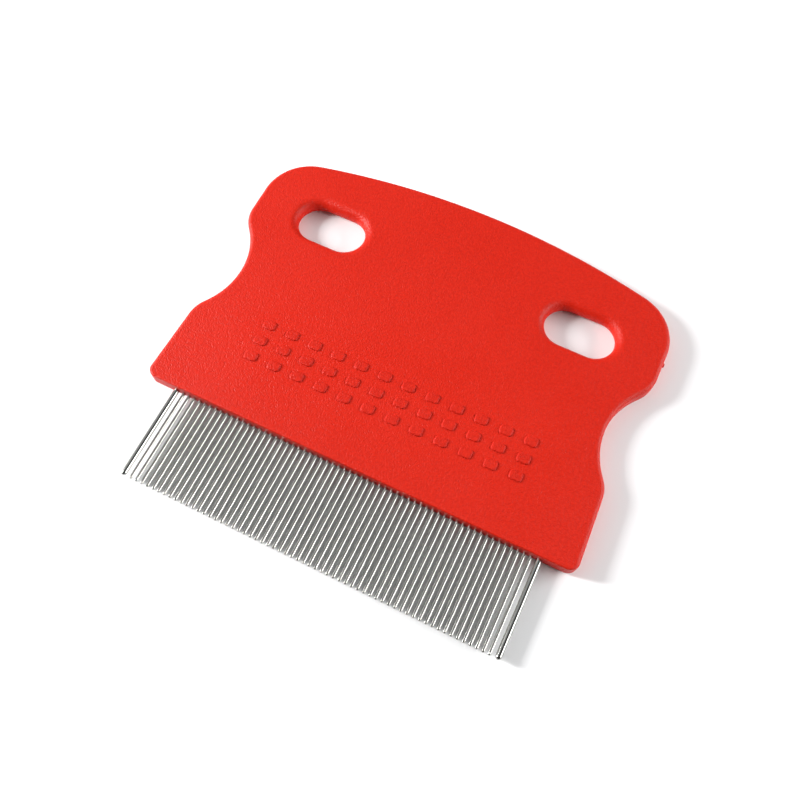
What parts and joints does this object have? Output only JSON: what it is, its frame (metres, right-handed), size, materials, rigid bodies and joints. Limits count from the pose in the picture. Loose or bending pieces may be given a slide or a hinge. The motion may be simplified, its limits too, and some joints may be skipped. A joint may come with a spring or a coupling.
{
  "type": "flea comb",
  "caption": "Flat hand-held flea comb: a waisted plastic plate with two oval finger slots and raised grip pads, holding one row of fine, close-set steel pins.",
  "frame": {"origin": "centre of the bounding box's base: under the middle of the comb, on the flat back face of the handle", "axes": "+X along the row of pins, towards the right as the grip pads are seen with the pins pointing down; -Y the way the pins point; +Z out of the face with the grip pads"},
  "size_m": [0.08, 0.0726, 0.0037],
  "materials": {
    "red_plastic": "satin, fine spark-eroded grain",
    "steel_wire": "drawn wire, half bright"
  },
  "bodies": {
    "root": {"guard_pin_left": "steel_wire", "guard_pin_right": "steel_wire", "hairpin_01_02": "steel_wire", "hairpin_03_04": "steel_wire", "hairpin_58_59": "steel_wire", "hairpin_60_61": "steel_wire", "handle": "red_plastic", "pin_05": "steel_wire", "pin_06": "steel_wire", "pin_07": "steel_wire", "pin_08": "steel_wire", "pin_09": "steel_wire", "pin_10": "steel_wire", "pin_11": "steel_wire", "pin_12": "steel_wire", "pin_13": "steel_wire", "pin_14": "steel_wire", "pin_15": "steel_wire", "pin_16": "steel_wire", "pin_17": "steel_wire", "pin_18": "steel_wire", "pin_19": "steel_wire", "pin_20": "steel_wire", "pin_21": "steel_wire", "pin_22": "steel_wire", "pin_23": "steel_wire", "pin_24": "steel_wire", "pin_25": "steel_wire", "pin_26": "steel_wire", "pin_27": "steel_wire", "pin_28": "steel_wire", "pin_29": "steel_wire", "pin_30": "steel_wire", "pin_31": "steel_wire", "pin_32": "steel_wire", "pin_33": "steel_wire", "pin_34": "steel_wire", "pin_35": "steel_wire", "pin_36": "steel_wire", "pin_37": "steel_wire", "pin_38": "steel_wire", "pin_39": "steel_wire", "pin_40": "steel_wire", "pin_41": "steel_wire", "pin_42": "steel_wire", "pin_43": "steel_wire", "pin_44": "steel_wire", "pin_45": "steel_wire", "pin_46": "steel_wire", "pin_47": "steel_wire", "pin_48": "steel_wire", "pin_49": "steel_wire", "pin_50": "steel_wire", "pin_51": "steel_wire", "pin_52": "steel_wire", "pin_53": "steel_wire", "pin_54": "steel_wire", "pin_55": "steel_wire", "pin_56": "steel_wire", "pin_57": "steel_wire"}
  },
  "joints": []
}
